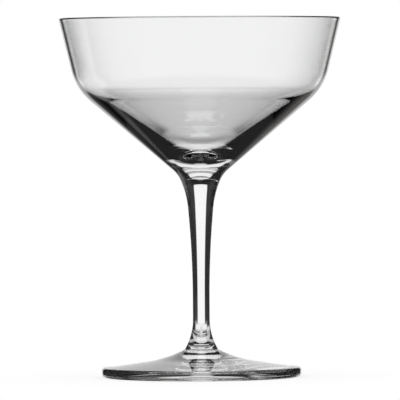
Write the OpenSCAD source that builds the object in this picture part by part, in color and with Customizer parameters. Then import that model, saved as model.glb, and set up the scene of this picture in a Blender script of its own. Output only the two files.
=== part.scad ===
// Martini glass: a blown bowl, a drawn stem and a pressed foot, fused end to end.
// Millimetres, +Z up. The origin is the centre of the ring that the foot rests on.
// Each piece is an outline in the R-Z plane, turned about the Z axis.

/* [Overall] */
// Height from the table to the top of the rim
overall_h = 136.5; // [115:0.5:170]
// Outer diameter of the rim
rim_d = 107; // [90:0.5:128]
// Outer diameter of the foot
foot_d = 75.8; // [60:0.2:92]

/* [Bowl] */
// Lean of the upper wall, degrees from vertical
wall_lean = 13.7; // [8:0.1:18]
// Depth from the rim to the level where the wall and the cone would meet
knee_depth = 26.9; // [22:0.1:33]
// Radius of the knee outside
knee_r = 23.5; // [16:0.5:28]
// Lean of the cone outside, degrees from vertical
cone_lean = 49.8; // [44:0.1:53]
// Thickness of the upper wall
wall_t = 1.1; // [0.9:0.05:1.6]
// Thickness of the cone where it runs into the knee
cone_t = 1.35; // [1.2:0.05:1.8]
// How much more the cone leans inside than outside at the knee, degrees
knee_splay = 4.3; // [3.5:0.1:5.5]
// How much more it leans inside than outside at the floor, degrees
floor_splay = 8; // [7:0.1:9]
// Radius of the rounded floor inside
floor_r = 28.8; // [22:0.1:36]
// Solid glass between the middle of the floor and the seam with the stem
floor_t = 11.85; // [10.5:0.05:12.5]

/* [Stem] */
// Diameter at the waist
waist_d = 6.4; // [5:0.1:9]
// Radius of the fillet that runs into the cone
top_fillet_r = 11; // [7:0.5:14]
// Lean where that fillet meets the flare, degrees from vertical
top_fillet_lean = 24; // [21:0.5:30]
// Radius of the upper flare
top_flare_r = 33.4; // [26:0.2:42]
// Lean of the flare at the seam with the bowl, degrees from vertical
bowl_seam_lean = 20; // [12:0.5:20.5]
// Lean where the flare meets the long taper, degrees from vertical
taper_lean = 5.3; // [3:0.1:7]
// Length of the straight waist between the taper and the flare at the bottom
waist_l = 7.3; // [0:0.1:12]
// Radius of the flare at the bottom
bottom_flare_r = 21.8; // [16:0.2:28]
// Lean of that flare at the seam with the foot, degrees from vertical
foot_seam_lean = 30; // [20:1:38]

/* [Foot] */
// Height of the foot at its edge, before rounding
edge_t = 3.65; // [3:0.05:5]
// Slope of the top of the foot, degrees from horizontal
foot_slope = 8; // [4:0.5:12]
// Radius of the hollow sweep that climbs to the seam
foot_sweep_r = 38; // [26:1:50]
// Steepest slope of that sweep, degrees from horizontal
foot_sweep_slope = 28; // [20:1:34]
// Radius of the small fillet below the seam
foot_fillet_r = 1.5; // [0.8:0.1:3]
// Rounding of the edge above
edge_top_r = 1.1; // [0.6:0.1:1.4]
// Rounding of the edge below
edge_bottom_r = 1.5; // [0.8:0.1:1.8]
// Width of the flat ring that the foot rests on
rest_w = 2.6; // [1.5:0.1:5]
// Rise of the hollow underside at its middle
hollow_h = 1.5; // [0.5:0.1:3]

/* [Hidden] */
$fn = 128;
glass = [0.86, 0.90, 0.91, 0.35];
arc_steps = 12;

// A lean is measured from vertical, positive where the glass widens upwards.
// along() is the direction up such a line and out() the direction away from the axis.
function along(lean) = [sin(lean), cos(lean)];
function out(lean) = [cos(lean), -sin(lean)];

// How far a hollow arc spreads and climbs while its lean grows from one value to another
function climb(r, low_lean, high_lean) = r * (out(low_lean) - out(high_lean));

// Points of a round stretch about a centre, between two polar angles
function arc(centre, r, from, to) =
    [for (i = [0:arc_steps]) let (a = from + (to - from) * i / arc_steps) centre + r * [cos(a), sin(a)]];

// Arc that rounds the corner of two lines that hold glass or air on their inner side
function knee(corner, low_lean, high_lean, r) =
    arc(corner + along(high_lean) * r * tan((low_lean - high_lean) / 2) - r * out(high_lean),
        r, -low_lean, -high_lean);

// Rim: a full round between the two faces of the wall
lip_r = wall_t / 2;
lip = [rim_d / 2 - lip_r, overall_h - lip_r];
wall_out = lip + lip_r * out(wall_lean);
wall_in = lip - lip_r * out(wall_lean);

// Outside of the bowl: the wall and the cone meet at a corner, which the knee rounds
corner_z = overall_h - knee_depth;
corner = [wall_out[0] - (wall_out[1] - corner_z) * tan(wall_lean), corner_z];

// Foot: the top slopes in to a hollow sweep, which climbs to the small fillet below the seam
waist_r = waist_d / 2;
foot_r = foot_d / 2;
bottom_flare = climb(bottom_flare_r, 0, foot_seam_lean);
foot_seam_r = waist_r + bottom_flare[0];
sweep_top_r = foot_seam_r + foot_fillet_r * (cos(foot_seam_lean) - sin(foot_sweep_slope));
sweep_low_r = sweep_top_r + foot_sweep_r * (sin(foot_sweep_slope) - sin(foot_slope));
sweep_low_z = edge_t + (foot_r - sweep_low_r) * tan(foot_slope);
sweep_top_z = sweep_low_z + foot_sweep_r * (cos(foot_slope) - cos(foot_sweep_slope));
foot_seam_z = sweep_top_z + foot_fillet_r * (cos(foot_sweep_slope) - sin(foot_seam_lean));
sweep_c = [sweep_low_r + foot_sweep_r * sin(foot_slope), sweep_low_z + foot_sweep_r * cos(foot_slope)];
foot_fillet_c = [foot_seam_r, foot_seam_z] + foot_fillet_r * along(90 - foot_seam_lean);
edge_top_z = edge_t - edge_top_r / tan((90 + foot_slope) / 2);
rest_in_r = foot_r - edge_bottom_r - rest_w;
hollow_r = (rest_in_r * rest_in_r + hollow_h * hollow_h) / (2 * hollow_h);

// Stem: three hollow arcs, one above the other, climb from the taper to the cone
waist_low = [waist_r, foot_seam_z + bottom_flare[1]];
waist_top = waist_low + [0, waist_l];
flare = climb(top_flare_r, taper_lean, bowl_seam_lean);
collar = climb(top_flare_r, bowl_seam_lean, top_fillet_lean);
fillet = climb(top_fillet_r, top_fillet_lean, cone_lean);

// The taper takes all the length that is left, so that the arcs above it end on the cone
to_cone = flare + collar + fillet;
cone_above_waist_z = corner_z - (corner[0] - waist_r - to_cone[0]) / tan(cone_lean);
taper_r = (cone_above_waist_z - to_cone[1] - waist_top[1])
    / (sin(taper_lean) - (1 - cos(taper_lean)) / tan(cone_lean));
taper_top = waist_top + climb(taper_r, 0, taper_lean);
bowl_seam = taper_top + flare;
fillet_low = bowl_seam + collar;

// Centres of the arcs of the stem, which lie outside the glass
bottom_flare_c = waist_low + [bottom_flare_r, 0];
taper_c = waist_top + [taper_r, 0];
flare_c = taper_top + top_flare_r * out(taper_lean);
fillet_c = fillet_low + top_fillet_r * out(top_fillet_lean);

// Inside of the bowl: a rounded floor, a cone that steepens a little as it climbs, and a knee.
// The cone runs on until it has thinned to cone_t, and the knee is as round as it takes to end on the wall.
low_lean = cone_lean + floor_splay;
high_lean = cone_lean + knee_splay;
floor_c = [0, bowl_seam[1] + floor_t + floor_r];
floor_edge = floor_c + floor_r * out(low_lean);
inner_cone_r = ((corner - floor_edge) * out(cone_lean) - cone_t)
    / ((out(high_lean) - out(low_lean)) * out(cone_lean));
inner_cone_c = floor_edge - inner_cone_r * out(low_lean);
inner_cone_top = inner_cone_c + inner_cone_r * out(high_lean);
inner_knee_r = (wall_in - inner_cone_top) * out(wall_lean) / (1 - cos(high_lean - wall_lean));
inner_knee_c = inner_cone_top - inner_knee_r * out(high_lean);

module turned(outline) color(glass) rotate_extrude() polygon(outline);

// Blown bowl, from its seam up the outside, over the lip and down the inside
module bowl() turned(concat(
    [[0, bowl_seam[1]]],
    arc(flare_c, top_flare_r, 180 - bowl_seam_lean, 180 - top_fillet_lean),
    arc(fillet_c, top_fillet_r, 180 - top_fillet_lean, 180 - cone_lean),
    knee(corner, cone_lean, wall_lean, knee_r),
    arc(lip, lip_r, -wall_lean, 180 - wall_lean),
    arc(inner_knee_c, inner_knee_r, -wall_lean, -high_lean),
    arc(inner_cone_c, inner_cone_r, -high_lean, -low_lean),
    arc(floor_c, floor_r, -low_lean, -90)
));

// Drawn stem, from its seam with the foot up to its seam with the bowl
module stem() turned(concat(
    [[0, foot_seam_z]],
    arc(bottom_flare_c, bottom_flare_r, 180 + foot_seam_lean, 180),
    arc(taper_c, taper_r, 180, 180 - taper_lean),
    arc(flare_c, top_flare_r, 180 - taper_lean, 180 - bowl_seam_lean),
    [[0, bowl_seam[1]]]
));

// Pressed foot, from the middle of its hollow underside out round the edge and up to the seam
module foot() turned(concat(
    arc([0, hollow_h - hollow_r], hollow_r, 90, acos(rest_in_r / hollow_r)),
    arc([foot_r - edge_bottom_r, edge_bottom_r], edge_bottom_r, -90, 0),
    arc([foot_r - edge_top_r, edge_top_z], edge_top_r, 0, 90 - foot_slope),
    arc(sweep_c, foot_sweep_r, 270 - foot_slope, 270 - foot_sweep_slope),
    arc(foot_fillet_c, foot_fillet_r, 270 - foot_sweep_slope, 180 + foot_seam_lean),
    [[0, foot_seam_z]]
));

bowl();
stem();
foot();
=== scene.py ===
import math

import bpy
from mathutils import Matrix, Vector


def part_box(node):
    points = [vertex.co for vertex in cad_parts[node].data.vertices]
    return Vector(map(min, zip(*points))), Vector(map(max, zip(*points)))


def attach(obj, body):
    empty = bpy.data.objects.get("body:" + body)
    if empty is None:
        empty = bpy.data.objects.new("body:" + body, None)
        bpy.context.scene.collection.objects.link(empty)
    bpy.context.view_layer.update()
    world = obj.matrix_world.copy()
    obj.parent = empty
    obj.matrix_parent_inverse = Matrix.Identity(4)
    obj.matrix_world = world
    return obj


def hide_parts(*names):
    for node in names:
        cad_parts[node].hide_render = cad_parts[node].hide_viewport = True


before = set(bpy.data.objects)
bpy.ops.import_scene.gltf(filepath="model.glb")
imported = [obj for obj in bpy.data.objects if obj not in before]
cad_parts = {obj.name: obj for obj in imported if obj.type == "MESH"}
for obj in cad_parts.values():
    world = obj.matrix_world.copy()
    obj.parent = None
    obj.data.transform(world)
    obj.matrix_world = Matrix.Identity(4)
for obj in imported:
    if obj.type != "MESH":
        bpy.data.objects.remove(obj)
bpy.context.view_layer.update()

# ---------------------------------------------------------------- Bowl
# The bowl is clear crystal glass, blown into a turned mould: a thin wall leans out over a steep cone,
# which thickens to a rounded floor. The rim is cut and fire-polished to a full round, and the solid
# underside is fused hot to the top of the stem.
MM = 0.001
deg = math.radians

rim_r, rim_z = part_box("bowl")[1].x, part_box("bowl")[1].z
bowl_seam_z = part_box("bowl")[0].z
wall_t = 1.1 * MM
wall_lean = deg(13.7)
knee_depth = 26.9 * MM
knee_r = 23.5 * MM
cone_lean = deg(49.8)
fillet_r = 11 * MM
fillet_lean = deg(24)
flare_r = 33.4 * MM
bowl_seam_lean = deg(20)
cone_t = 1.35 * MM
knee_splay = deg(4.3)
floor_splay = deg(8)
floor_t = 11.85 * MM
floor_r = 28.8 * MM


class Outline:
    """A line of straight runs and round bends, drawn in the plane y = 0 and then turned about the Z axis.
    Its lean is the direction of drawing: 0 is up, 90 degrees is away from the axis, 180 is down."""

    def __init__(self, name, x, z, lean):
        bpy.ops.object.select_all(action="DESELECT")
        bpy.ops.mesh.primitive_plane_add(size=MM)
        self.object = bpy.context.object
        self.object.name = self.object.data.name = name
        bpy.ops.object.mode_set(mode="EDIT")
        bpy.ops.mesh.select_all(action="SELECT")
        bpy.ops.mesh.merge(type="CENTER")
        bpy.ops.transform.translate(value=(x, 0, z))
        self.x, self.z, self.lean = x, z, lean

    def run(self, length, piece=MM):
        """Goes straight on, in pieces of about the given length."""
        count = max(1, round(length / piece))
        dx = length / count * math.sin(self.lean)
        dz = length / count * math.cos(self.lean)
        for _ in range(count):
            bpy.ops.mesh.extrude_region_move(TRANSFORM_OT_translate={"value": (dx, 0, dz)})
        self.x += dx * count
        self.z += dz * count

    def bend(self, radius, lean, steps):
        """Swings round to a new lean on an arc of the given radius."""
        side = 1 if lean > self.lean else -1
        cx = self.x + side * radius * math.cos(self.lean)
        cz = self.z - side * radius * math.sin(self.lean)
        bpy.ops.mesh.spin(steps=steps, angle=lean - self.lean, center=(cx, 0, cz), axis=(0, -1, 0))
        self.x = cx - side * radius * math.cos(lean)
        self.z = cz + side * radius * math.sin(lean)
        self.lean = lean

    def seam(self):
        """Crosses level to the axis, along the face that is fused to the next piece."""
        self.lean = deg(270)
        self.run(self.x, piece=self.x)

    def turn(self, segments=256):
        """Turns the outline into a closed solid, faces outward, smooth but for its seams."""
        bpy.ops.mesh.select_all(action="SELECT")
        bpy.ops.mesh.spin(steps=segments, angle=deg(360), center=(0, 0, 0), axis=(0, 0, 1))
        bpy.ops.mesh.select_all(action="SELECT")
        bpy.ops.mesh.remove_doubles(threshold=MM / 1000)
        bpy.ops.mesh.normals_make_consistent(inside=False)
        bpy.ops.object.mode_set(mode="OBJECT")
        bpy.ops.object.shade_smooth_by_angle(angle=deg(30))
        return self.object


def off_line(point, end, lean):
    """Distance of a point from the line with this lean that ends at another point."""
    return (end[0] - point[0]) * math.cos(lean) - (end[1] - point[1]) * math.sin(lean)


lip_r = wall_t / 2
lip_x, lip_z = rim_r - lip_r, rim_z - lip_r
wall_out = (lip_x + lip_r * math.cos(wall_lean), lip_z - lip_r * math.sin(wall_lean))
wall_in = (lip_x - lip_r * math.cos(wall_lean), lip_z + lip_r * math.sin(wall_lean))
corner = (wall_out[0] - (wall_out[1] - rim_z + knee_depth) * math.tan(wall_lean), rim_z - knee_depth)
corner_cut = knee_r * math.tan((cone_lean - wall_lean) / 2)
fillet_top_z = (bowl_seam_z + flare_r * (math.sin(fillet_lean) - math.sin(bowl_seam_lean))
                + fillet_r * (math.sin(cone_lean) - math.sin(fillet_lean)))
low_lean = cone_lean + floor_splay
high_lean = cone_lean + knee_splay

line = Outline("bowl_glass", 0, bowl_seam_z + floor_t, deg(90))
line.bend(floor_r, low_lean, 48)
thinning = off_line((line.x, line.z), corner, cone_lean) - cone_t
line.bend(thinning / (math.cos(knee_splay) - math.cos(floor_splay)), high_lean, 24)
wall_gap = off_line((line.x, line.z), wall_in, wall_lean)
line.bend(wall_gap / (1 - math.cos(high_lean - wall_lean)), wall_lean, 32)
line.run(math.dist((line.x, line.z), wall_in))
line.bend(lip_r, deg(180) + wall_lean, 16)
line.run(math.dist(corner, wall_out) - corner_cut)
line.bend(knee_r, deg(180) + cone_lean, 32)
line.run((line.z - fillet_top_z) / math.cos(cone_lean))
line.bend(fillet_r, deg(180) + fillet_lean, 24)
line.bend(flare_r, deg(180) + bowl_seam_lean, 4)
bowl_seam_r = line.x
line.seam()
bowl = line.turn()


def put(tree, kind, inputs=None, **options):
    """Adds a node to a tree, sets its options, and fills its input sockets with constants or links."""
    node = tree.nodes.new(kind)
    for name, value in options.items():
        setattr(node, name, value)
    for key, value in (inputs or {}).items():
        if isinstance(value, bpy.types.NodeSocket):
            tree.links.new(value, node.inputs[key])
        else:
            node.inputs[key].default_value = value
    return node


def new_group(name, inputs, outputs):
    """Starts a node group with these sockets, each a name and a type."""
    tree = bpy.data.node_groups.new(name, "ShaderNodeTree")
    for direction, sockets in (("INPUT", inputs), ("OUTPUT", outputs)):
        for socket, kind in sockets:
            tree.interface.new_socket(socket, in_out=direction, socket_type="NodeSocket" + kind)
    return tree, tree.nodes.new("NodeGroupInput").outputs, tree.nodes.new("NodeGroupOutput")


# Waves that fire-polishing leaves on the surface: soft swells of one size, drawn out by the stretch
wave_inputs = (("Position", "Vector"), ("Size", "Float"), ("Stretch", "Vector"))
waves, given, result = new_group("fire_polish_waves", wave_inputs, (("Height", "Float"),))
place = put(waves, "ShaderNodeVectorMath", {0: given["Position"], 1: given["Stretch"]}, operation="MULTIPLY")
per_metre = put(waves, "ShaderNodeMath", {0: 1.0, 1: given["Size"]}, operation="DIVIDE")
swell = put(waves, "ShaderNodeTexNoise", {"Vector": place.outputs[0], "Scale": per_metre.outputs[0],
                                          "Detail": 1.0, "Roughness": 0.35})
waves.links.new(swell.outputs[0], result.inputs["Height"])

# Wipe marks: a polished surface with faint cloudy patches where a cloth has passed
wiped, given, result = new_group("wiped_surface", (("Position", "Vector"),), (("Roughness", "Float"),))
sweep = put(wiped, "ShaderNodeVectorMath", {0: given["Position"], 1: (1, 1, 0.35)}, operation="MULTIPLY")
cloud = put(wiped, "ShaderNodeTexNoise", {"Vector": sweep.outputs[0], "Scale": 60.0, "Detail": 4.0,
                                          "Roughness": 0.6, "Distortion": 0.8})
dulled = put(wiped, "ShaderNodeMapRange", {0: cloud.outputs[0], 1: 0.5, 2: 0.75, 3: 0.0, 4: 0.004})
wiped.links.new(dulled.outputs[0], result.inputs["Roughness"])

# Trace of colour: water-clear metal, here a breath greener and there a breath greyer
trace, given, result = new_group("trace_of_colour", (("Position", "Vector"),), (("Color", "Color"),))
drift = put(trace, "ShaderNodeTexNoise", {"Vector": given["Position"], "Scale": 25.0, "Detail": 2.0})
tint = put(trace, "ShaderNodeMix", {0: drift.outputs[0], 6: (0.998, 1, 0.999, 1), 7: (0.994, 0.996, 0.996, 1)},
           data_type="RGBA")
trace.links.new(tint.outputs[2], result.inputs["Color"])


def clear_glass(name, *swells):
    """Clear crystal glass. Each swell is a size, a depth in thousandths of a millimetre and a stretch."""
    material = bpy.data.materials.new(name)
    material.use_nodes = True
    tree = material.node_tree
    shader = tree.nodes["Principled BSDF"]
    shader.inputs["Transmission Weight"].default_value = 1
    shader.inputs["IOR"].default_value = 1.545
    position = put(tree, "ShaderNodeTexCoord").outputs["Object"]
    height = 0.0
    for size, depth, stretch in swells:
        swell = put(tree, "ShaderNodeGroup", node_tree=waves)
        tree.links.new(position, swell.inputs["Position"])
        swell.inputs["Size"].default_value = size
        swell.inputs["Stretch"].default_value = stretch
        height = put(tree, "ShaderNodeMath", {0: swell.outputs["Height"], 1: depth, 2: height},
                     operation="MULTIPLY_ADD").outputs[0]
    bump = put(tree, "ShaderNodeBump", {"Height": height, "Distance": MM / 1000, "Strength": 1.0})
    tree.links.new(bump.outputs[0], shader.inputs["Normal"])
    for group, socket in ((wiped, "Roughness"), (trace, "Base Color")):
        effect = put(tree, "ShaderNodeGroup", node_tree=group)
        tree.links.new(position, effect.inputs["Position"])
        tree.links.new(effect.outputs[0], shader.inputs[socket])
    return material


def painted_edge_shade(material):
    """Paints shade on the outer face where it is seen edge-on: a near-black outline in the base colour,
    painted shade that stands for the dark edges of the glass.
    """
    tree = material.node_tree
    base = tree.nodes["Principled BSDF"].inputs["Base Color"]
    facing = put(tree, "ShaderNodeLayerWeight", {"Blend": 0.5}).outputs["Facing"]
    grazing_shade = put(tree, "ShaderNodeMapRange", {0: facing, 1: 0.745, 2: 0.785}).outputs[0]
    normal = put(tree, "ShaderNodeSeparateXYZ", {0: put(tree, "ShaderNodeNewGeometry").outputs["Normal"]})
    outside = put(tree, "ShaderNodeMath", {0: normal.outputs["Z"], 1: 0.0}, operation="LESS_THAN").outputs[0]
    edge = put(tree, "ShaderNodeMath", {0: grazing_shade, 1: outside}, operation="MULTIPLY").outputs[0]
    # Painted shade: the base colour turns near-black (0.01) where the outer face is seen edge-on
    color = put(tree, "ShaderNodeMix", {0: edge, 6: base.links[0].from_socket, 7: (0.01, 0.01, 0.01, 1)},
                data_type="RGBA").outputs[2]
    tree.links.new(color, base)


# Where two pieces are fused there is no surface between them, so light goes straight through
seam = bpy.data.materials.new("fused_seam")
seam.use_nodes = True
seam.node_tree.nodes.remove(seam.node_tree.nodes["Principled BSDF"])
clear = put(seam.node_tree, "ShaderNodeBsdfTransparent")
seam.node_tree.links.new(clear.outputs[0], seam.node_tree.nodes["Material Output"].inputs[0])


def fused_faces(piece, *heights):
    """Gives the level faces at these heights the see-through seam material, slot 1."""
    piece.data.materials.append(seam)
    for face in piece.data.polygons:
        if any(abs(face.center.z - z) < MM / 100 for z in heights) and abs(face.normal.z) > 0.99:
            face.material_index = 1


# Soft swells all over the bowl, and the faint rings of the turned mould round it
bowl_glass = clear_glass("bowl_glass", (14 * MM, 8, (1, 1, 1)), (5 * MM, 2, (0.05, 0.05, 1)))
# Painted shade: a near-black outline painted on the bowl's outer face where it is seen edge-on
painted_edge_shade(bowl_glass)
bowl.data.materials.append(bowl_glass)
fused_faces(bowl, bowl_seam_z)
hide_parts("bowl")
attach(bowl, "root")

# ---------------------------------------------------------------- Stem
# The stem is drawn out of solid hot glass, so it swells smoothly from a straight waist to the bowl.
# Drawing leaves fine cords that run along it. Both its ends are fused, to the bowl and to the foot.
taper_lean = deg(5.3)
waist_l = 7.3 * MM
bottom_flare_r = 21.8 * MM
foot_seam_lean = deg(30)
foot_seam_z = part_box("stem")[0].z
taper_h = (bowl_seam_z - foot_seam_z - flare_r * (math.sin(bowl_seam_lean) - math.sin(taper_lean))
           - waist_l - bottom_flare_r * math.sin(foot_seam_lean))

line = Outline("stem_glass", 0, bowl_seam_z, deg(90))
line.run(bowl_seam_r, piece=bowl_seam_r)
line.lean = deg(180) + bowl_seam_lean
line.bend(flare_r, deg(180) + taper_lean, 16)
line.bend(taper_h / math.sin(taper_lean), deg(180), 40)
line.run(waist_l)
line.bend(bottom_flare_r, deg(180) - foot_seam_lean, 24)
foot_seam_r = line.x
line.seam()
stem = line.turn()

stem.data.materials.append(clear_glass("stem_glass", (1.6 * MM, 3, (1, 1, 0.03)), (6 * MM, 4, (1, 1, 1))))
fused_faces(stem, bowl_seam_z, foot_seam_z)
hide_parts("stem")
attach(stem, "root")

# ---------------------------------------------------------------- Foot
# The foot is a disc of glass pressed hot on to the stem: its top sweeps up to a small fillet at the
# seam, its edge is rounded, and its underside is slightly hollow, so it stands on a narrow ring.
foot_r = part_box("foot")[1].x
foot_slope = deg(8)
sweep_r = 38 * MM
sweep_slope = deg(28)
foot_fillet_r = 1.5 * MM
edge_top_r = 1.1 * MM
edge_bottom_r = 1.5 * MM
rest_w = 2.6 * MM
hollow_h = 1.5 * MM
edge_cut = edge_top_r * math.tan((deg(90) - foot_slope) / 2)
rest_in_r = foot_r - edge_bottom_r - rest_w
hollow_r = (rest_in_r ** 2 + hollow_h ** 2) / (2 * hollow_h)

line = Outline("foot_glass", 0, foot_seam_z, deg(90))
line.run(foot_seam_r, piece=foot_seam_r)
line.lean = deg(180) - foot_seam_lean
line.bend(foot_fillet_r, deg(90) + sweep_slope, 12)
line.bend(sweep_r, deg(90) + foot_slope, 24)
line.run((foot_r - line.x) / math.cos(foot_slope) - edge_cut)
line.bend(edge_top_r, deg(180), 16)
line.run(line.z - edge_bottom_r, piece=MM / 2)
line.bend(edge_bottom_r, deg(270), 16)
line.run(rest_w)
line.lean = deg(270) + math.asin(rest_in_r / hollow_r)
line.bend(hollow_r, deg(270), 40)
foot = line.turn()

foot.data.materials.append(clear_glass("foot_glass", (7 * MM, 1, (1, 1, 1))))
fused_faces(foot, foot_seam_z)
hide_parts("foot")
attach(foot, "root")

# ---------------------------------------------------------------- Floor
# The floor is a wide sheet of white paper. It takes the faint shadow of the glass near the foot and
# is plain white further out. Seen through the glass it gives way to the table of the surroundings.
bpy.ops.object.select_all(action="DESELECT")
bpy.ops.mesh.primitive_plane_add(size=60, location=(0, 0, -0.02 * MM))
floor = bpy.context.object
floor.name = floor.data.name = "floor"
paper = bpy.data.materials.new("floor_paper")
paper.use_nodes = True
tree = paper.node_tree
tree.nodes.remove(tree.nodes["Principled BSDF"])
spot = put(tree, "ShaderNodeTexCoord").outputs["Object"]
distance = put(tree, "ShaderNodeVectorMath", {0: spot}, operation="LENGTH").outputs["Value"]
fibre = put(tree, "ShaderNodeTexNoise", {"Vector": spot, "Scale": 900.0, "Detail": 3.0}).outputs[0]
shade = put(tree, "ShaderNodeMapRange", {0: fibre, 3: 0.985, 4: 1.0}).outputs[0]
lit = put(tree, "ShaderNodeBsdfDiffuse", {"Color": shade})
white = put(tree, "ShaderNodeEmission", {"Strength": 1.0})
plain = put(tree, "ShaderNodeMapRange", {0: distance, 1: 30 * MM, 2: 90 * MM, 3: 0.72, 4: 1.0}).outputs[0]
sheet = put(tree, "ShaderNodeMixShader", {0: plain, 1: lit.outputs[0], 2: white.outputs[0]})
path = put(tree, "ShaderNodeLightPath").outputs
through = put(tree, "ShaderNodeMath", {0: path["Is Transmission Ray"], 1: path["Is Glossy Ray"]},
              operation="MAXIMUM")
gone = put(tree, "ShaderNodeBsdfTransparent")
seen = put(tree, "ShaderNodeMixShader", {0: through.outputs[0], 1: sheet.outputs[0], 2: gone.outputs[0]})
tree.links.new(seen.outputs[0], tree.nodes["Material Output"].inputs[0])
floor.data.materials.append(paper)

# ---------------------------------------------------------------- Light
# The glass is lit as glass is in a studio: a white sheet behind shines through it and dark surroundings
# draw its edges. All of it is the world, which the camera and the floor see as plain white.
box_inputs = ("Azimuth", "Elevation", "Middle", "Half Width", "Side Edge",
              "Low", "Low Edge", "High", "High Edge")
softbox, given, result = new_group("softbox", [(name, "Float") for name in box_inputs], (("Mask", "Float"),))


def soft_step(value, edge, width, sign):
    """1 where value lies above (sign 1) or below (sign -1) the edge, with a soft change over the width."""
    half = put(softbox, "ShaderNodeMath", {0: width, 1: 0.5 * sign}, operation="MULTIPLY").outputs[0]
    start = put(softbox, "ShaderNodeMath", {0: edge, 1: half}, operation="SUBTRACT").outputs[0]
    end = put(softbox, "ShaderNodeMath", {0: edge, 1: half}, operation="ADD").outputs[0]
    step = put(softbox, "ShaderNodeMapRange", {0: value, 1: start, 2: end}, interpolation_type="SMOOTHSTEP")
    return step.outputs[0]


aside = put(softbox, "ShaderNodeMath", {0: given["Azimuth"], 1: given["Middle"]},
            operation="SUBTRACT").outputs[0]
aside = put(softbox, "ShaderNodeMath", {0: aside, 1: 180.0, 2: -180.0}, operation="WRAP").outputs[0]
aside = put(softbox, "ShaderNodeMath", {0: aside}, operation="ABSOLUTE").outputs[0]
across = soft_step(aside, given["Half Width"], given["Side Edge"], -1)
above = soft_step(given["Elevation"], given["Low"], given["Low Edge"], 1)
below = soft_step(given["Elevation"], given["High"], given["High Edge"], -1)
band = put(softbox, "ShaderNodeMath", {0: above, 1: below}, operation="MULTIPLY").outputs[0]
mask = put(softbox, "ShaderNodeMath", {0: across, 1: band}, operation="MULTIPLY").outputs[0]
softbox.links.new(mask, result.inputs["Mask"])

world = bpy.data.worlds.new("studio")
bpy.context.scene.world = world
world.use_nodes = True
tree = world.node_tree
tree.nodes.clear()
toward = put(tree, "ShaderNodeSeparateXYZ", {0: put(tree, "ShaderNodeTexCoord").outputs["Generated"]}).outputs
azimuth = put(tree, "ShaderNodeMath", {0: toward["X"], 1: toward["Y"]}, operation="ARCTAN2").outputs[0]
azimuth = put(tree, "ShaderNodeMath", {0: azimuth}, operation="DEGREES").outputs[0]
elevation = put(tree, "ShaderNodeMath", {0: toward["Z"]}, operation="ARCSINE").outputs[0]
elevation = put(tree, "ShaderNodeMath", {0: elevation}, operation="DEGREES").outputs[0]

# Which rays see a box: any, only those that met the glass a few times, or only those that went through
# it without being mirrored. The last two keep the deep edges of the glass dark and its walls clear.
path = put(tree, "ShaderNodeLightPath").outputs
mirrored = put(tree, "ShaderNodeMath", {0: path["Ray Depth"], 1: path["Transmission Depth"]},
               operation="SUBTRACT")
few = put(tree, "ShaderNodeMath", {0: path["Ray Depth"], 1: 4.5}, operation="LESS_THAN")
through = put(tree, "ShaderNodeMath", {0: mirrored.outputs[0], 1: 1.5}, operation="LESS_THAN")
rays = {"any": 1.0, "few": few.outputs[0], "through": through.outputs[0]}

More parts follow.
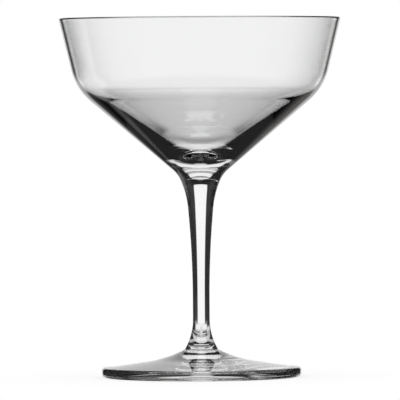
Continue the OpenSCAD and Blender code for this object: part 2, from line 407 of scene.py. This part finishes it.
# Each box: the rays that see it, middle and half width in azimuth, softness of its sides, lower edge and
# its softness, upper edge and its softness, colour. Azimuth 0 is behind the glass, towards +Y, and 90 is
# +X. A later box covers the earlier ones.
boxes = (
    ("any", 180, 60, 30, -34, 20, 25, 20, (0.05, 0.05, 0.05)),       # dim room in front
    ("few", 180, 62, 30, -12, 8, 34, 24, (0.24, 0.24, 0.24)),        # the same room in the near faces
    ("few", 180, 98, 44, -38, 14, -9, 6, (0.55, 0.55, 0.55)),        # table in front, in the near faces
    ("through", 180, 200, 1, -95, 1, -36, 10, (0.9, 0.9, 0.9)),      # table below, through clear walls
    ("through", 180, 98, 10, -50, 14, 44, 20, (0.93, 0.93, 0.93)),   # pale room, through clear walls
    ("any", 20, 17, 8, -28, 14, -4, 6, (0.34, 0.33, 0.32)),          # table behind, right
    ("any", -20, 17, 8, -22, 12, -4, 6, (0.15, 0.15, 0.15)),         # table behind, left
    ("any", 0, 30, 6, -16, 6, -8, 3, (0.95, 0.95, 0.95)),            # table just under the horizon
    ("any", 0, 5, 4, -34, 18, -5, 7, (0.74, 0.74, 0.74)),            # middle of the table
    ("any", 0, 18, 3, -9, 8, 31, 3, (1, 1, 1)),                      # white sheet behind
    ("any", 0, 24, 6, 52, 8, 82, 8, (0.55, 0.55, 0.55)),             # overhead box
    ("any", -48, 20, 8, -36, 8, -13, 6, (0.75, 0.75, 0.75)),         # far left of the table
)
light = (0.016, 0.016, 0.0165, 1)
for kind, *shape, color in boxes:
    box = put(tree, "ShaderNodeGroup", node_tree=softbox)
    tree.links.new(azimuth, box.inputs["Azimuth"])
    tree.links.new(elevation, box.inputs["Elevation"])
    for socket, value in zip(box.inputs[2:], shape):
        socket.default_value = value
    mask = put(tree, "ShaderNodeMath", {0: box.outputs["Mask"], 1: rays[kind]}, operation="MULTIPLY")
    light = put(tree, "ShaderNodeMix", {0: mask.outputs[0], 6: light, 7: (*color, 1)},
                data_type="RGBA").outputs[2]
by_glass = put(tree, "ShaderNodeMath", {0: path["Is Transmission Ray"], 1: path["Is Glossy Ray"]},
               operation="MAXIMUM")
light = put(tree, "ShaderNodeMix", {0: by_glass.outputs[0], 6: (1, 1, 1, 1), 7: light},
            data_type="RGBA").outputs[2]
background = put(tree, "ShaderNodeBackground", {"Color": light, "Strength": 1.0})
output = put(tree, "ShaderNodeOutputWorld", {"Surface": background.outputs[0]})

# ---------------------------------------------------------------- Camera
# A long lens a little below the rim, so the rim shows as a line and the top of the foot just shows.
camera = bpy.data.objects.new("camera", bpy.data.cameras.new("camera"))
bpy.context.scene.collection.objects.link(camera)
camera.data.lens = 573.8
camera.data.sensor_width = 36
camera.data.clip_end = 200
camera.location = (0, -2.42, 0.114)
look = Vector((-0.23 * MM, 0, 67.19 * MM)) - camera.location
aim = look.to_track_quat("-Z", "Y").to_matrix() @ Matrix.Rotation(deg(-0.35), 3, "Z")
camera.rotation_euler = aim.to_euler()

scene = bpy.context.scene
scene.camera = camera
scene.view_settings.view_transform = "Standard"
scene.cycles.max_bounces = 32
scene.cycles.transmission_bounces = 32
scene.cycles.glossy_bounces = 16
scene.cycles.transparent_max_bounces = 32
